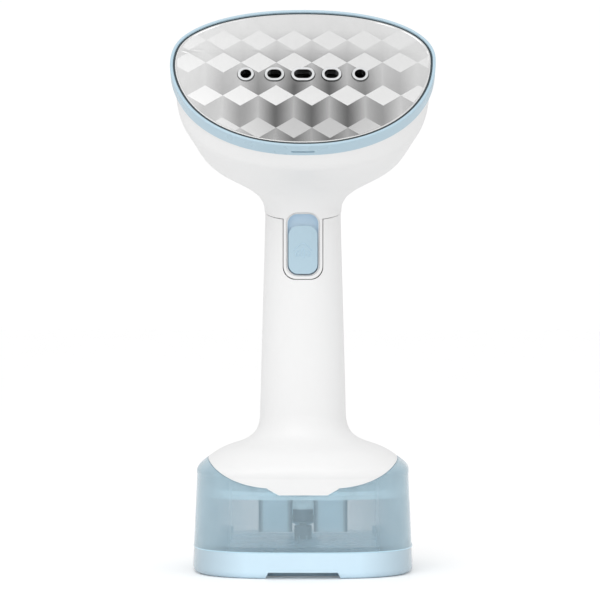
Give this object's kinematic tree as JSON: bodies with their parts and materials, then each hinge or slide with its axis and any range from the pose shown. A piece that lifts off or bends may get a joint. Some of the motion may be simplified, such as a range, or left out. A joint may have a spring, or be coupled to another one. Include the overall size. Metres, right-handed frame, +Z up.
{
  "type": "handheld garment steamer",
  "caption": "Upright handheld garment steamer with a tilted steel plate, slim grip, sliding trigger and a removable translucent tank that it stands on.",
  "frame": {"origin": "on the floor under the axis of the grip, on the tank's underside", "axes": "+Z up along the grip, front with the plate and trigger towards -Y, +X to the user's right as seen from the front"},
  "size_m": [0.1129, 0.0975, 0.2423],
  "materials": {
    "white_casing": "satin gloss white moulding",
    "blue_trim": "satin pale blue moulding",
    "base_blue": "glossy pale blue moulding",
    "clear_blue_tank": "translucent blue moulding",
    "polished_steel": "polished steel with an embossed diamond pattern",
    "dark_rubber": "matt dark rubber",
    "valve_dark": "dark blue rubber",
    "internal_metal": "zinc-plated steel",
    "internal_plastic": "grey nylon",
    "board_green": "green laminate",
    "copper_coil": "taped copper winding",
    "cast_aluminium": "as cast",
    "silicone_hose": "translucent silicone"
  },
  "bodies": {
    "handset": {"bezel_ring": "blue_trim", "plate_gasket": "dark_rubber", "steam_plate": "polished_steel", "steam_nozzles": "polished_steel", "chamber_seal": "dark_rubber", "heater_block": "cast_aluminium", "heating_element": "internal_metal", "element_terminals": "internal_metal", "heater_screws": "internal_metal", "thermostat": "internal_metal", "thermal_fuse": "internal_plastic", "heat_shield": "cast_aluminium", "head_shell": "white_casing", "neck_sleeve": "white_casing", "handle_front_shell": "white_casing", "handle_rear_shell": "white_casing", "case_screws": "internal_metal", "cord_gland": "dark_rubber", "cord_clamp": "internal_plastic", "clamp_screws": "internal_metal", "trigger_surround": "blue_trim", "microswitch": "internal_plastic", "circuit_board": "board_green", "board_parts": "internal_plastic", "terminal_block": "internal_plastic", "board_screws": "internal_metal", "pump_body": "internal_plastic", "pump_coil": "copper_coil", "pump_yoke": "internal_metal", "pump_spring_lower": "internal_metal", "pump_spring_upper": "internal_metal", "pump_mounts": "dark_rubber", "inlet_hose": "silicone_hose", "outlet_hose": "silicone_hose", "dock_tray": "clear_blue_tank", "dock_screws": "internal_metal", "dock_spigot": "internal_plastic", "spigot_o_ring": "dark_rubber"},
    "tank": {"tank_shell": "clear_blue_tank", "tank_deck": "clear_blue_tank", "latch_pockets": "clear_blue_tank", "outlet_valve": "valve_dark", "valve_flap": "valve_dark", "dip_tube": "silicone_hose", "water_filter": "internal_plastic", "tank_base": "base_blue", "base_screws": "internal_metal", "foot_pads": "dark_rubber", "cap_pin": "internal_metal"},
    "lock": {"lock_slide": "internal_plastic", "trigger_pin": "internal_metal", "trigger_spring": "internal_metal"},
    "trigger": {"trigger_button": "blue_trim"},
    "plunger": {"switch_plunger": "valve_dark"},
    "pump_piston": {"pump_plunger": "internal_metal"},
    "cap": {"fill_cap": "blue_trim", "cap_seal": "dark_rubber"}
  },
  "joints": [
    {"name": "tank_pull", "type": "slide", "parent": "handset", "child": "tank", "axis": [0, 0, -1], "range_m": [0, 0.05]},
    {"name": "cap_swing", "type": "hinge", "parent": "tank", "child": "cap", "pos_m": [0, 0.0429, 0.0334], "axis": [1, 0, 0], "range_deg": [0, 110]},
    {"name": "lock_travel", "type": "slide", "parent": "handset", "child": "lock", "axis": [0, 0, 1], "range_m": [0, 0.004]},
    {"name": "trigger_press", "type": "hinge", "parent": "lock", "child": "trigger", "pos_m": [0, -0.0126, 0.1315], "axis": [-1, 0, 0], "range_deg": [0, 5], "stiffness_Nm_per_rad": 0.4, "springref_deg": -6.88},
    {"name": "plunger_press", "type": "slide", "parent": "handset", "child": "plunger", "axis": [0, 1, 0], "range_m": [0, 0.00095]},
    {"name": "piston_stroke", "type": "slide", "parent": "handset", "child": "pump_piston", "axis": [0, 0, 1], "range_m": [-0.0015, 0.0015], "stiffness_N_per_m": 400, "deforming": ["pump_spring_lower", "pump_spring_upper"]}
  ],
  "couplings": [
    {"joint": "plunger_press", "follows": "trigger_press", "m_per_rad": 0.010313}
  ]
}
